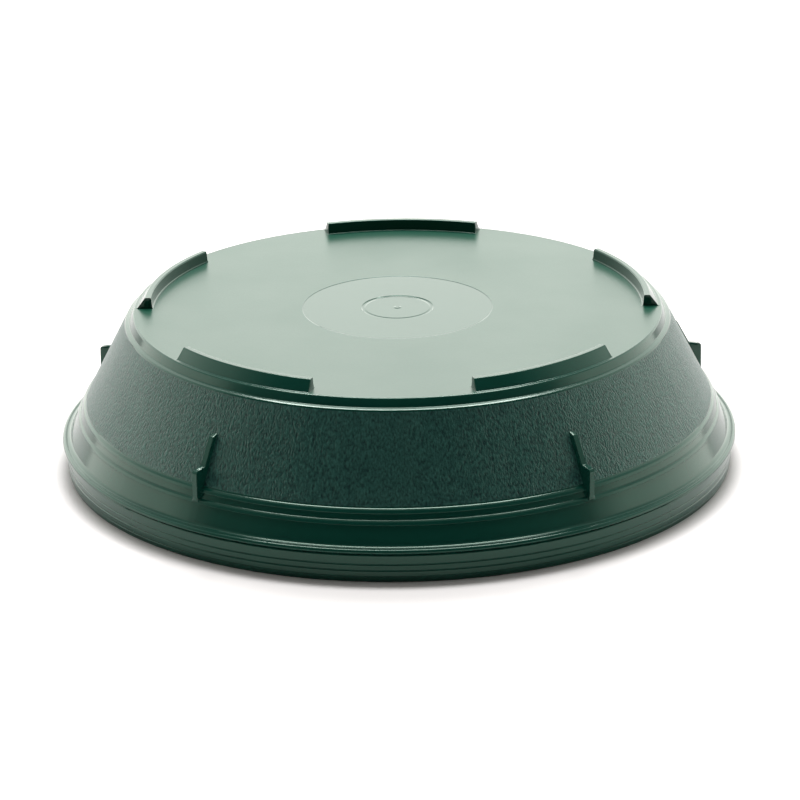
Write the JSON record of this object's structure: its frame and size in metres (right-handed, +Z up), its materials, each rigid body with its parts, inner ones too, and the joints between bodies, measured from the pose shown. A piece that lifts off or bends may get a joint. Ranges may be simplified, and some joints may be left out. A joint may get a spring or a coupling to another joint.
{
  "type": "wasp trap",
  "caption": "Shallow ribbed green bowl with arc feet, turned over on a lid that holds entry funnels, a shutter and a capped bait cup.",
  "frame": {"origin": "centre of the ring on which the lid's skirt rests, in the plane of the table", "axes": "+Z up out of the bowl's upturned bottom, -Y towards the front entry, +X to the right"},
  "size_m": [0.24, 0.24, 0.0606],
  "materials": {
    "green_moulding": "deep green polypropylene, glossy rim and bands, fine moulded grain on the wall",
    "yellow_moulding": "satin yellow polypropylene",
    "natural_moulding": "satin undyed polypropylene",
    "black_rubber": "matt black rubber",
    "spring_steel": "bright spring steel",
    "lure_felt": "felt soaked in bait"
  },
  "bodies": {
    "lid": {"lid": "green_moulding", "rim_seal": "black_rubber", "shutter_circlip": "spring_steel", "entry_funnel_1": "yellow_moulding", "entry_funnel_2": "yellow_moulding", "entry_funnel_3": "yellow_moulding", "entry_funnel_4": "yellow_moulding", "entry_funnel_5": "yellow_moulding", "funnel_clip_1": "natural_moulding", "funnel_clip_2": "natural_moulding", "funnel_clip_3": "natural_moulding", "funnel_clip_4": "natural_moulding", "funnel_clip_5": "natural_moulding"},
    "bowl": {"bowl": "green_moulding"},
    "shutter": {"entry_shutter": "yellow_moulding"},
    "bait_cup": {"bait_cup": "natural_moulding", "lure_pad": "lure_felt", "pad_retainer": "natural_moulding"},
    "bait_cap": {"bait_cap": "yellow_moulding", "cap_seal": "black_rubber"}
  },
  "joints": [
    {"name": "bowl_lift", "type": "slide", "parent": "lid", "child": "bowl", "axis": [0, 0, 1], "range_m": [0, 0.08]},
    {"name": "shutter_turn", "type": "hinge", "parent": "lid", "child": "shutter", "pos_m": [0, 0, 0.0065], "axis": [0, 0, 1], "range_deg": [0, 36]},
    {"name": "cup_turn", "type": "hinge", "parent": "lid", "child": "bait_cup", "pos_m": [0, 0, 0.0104], "axis": [0, 0, 1], "range_deg": [0, 70]},
    {"name": "cap_pull", "type": "slide", "parent": "bait_cup", "child": "bait_cap", "axis": [0, 0, -1], "range_m": [0, 0.012]}
  ]
}
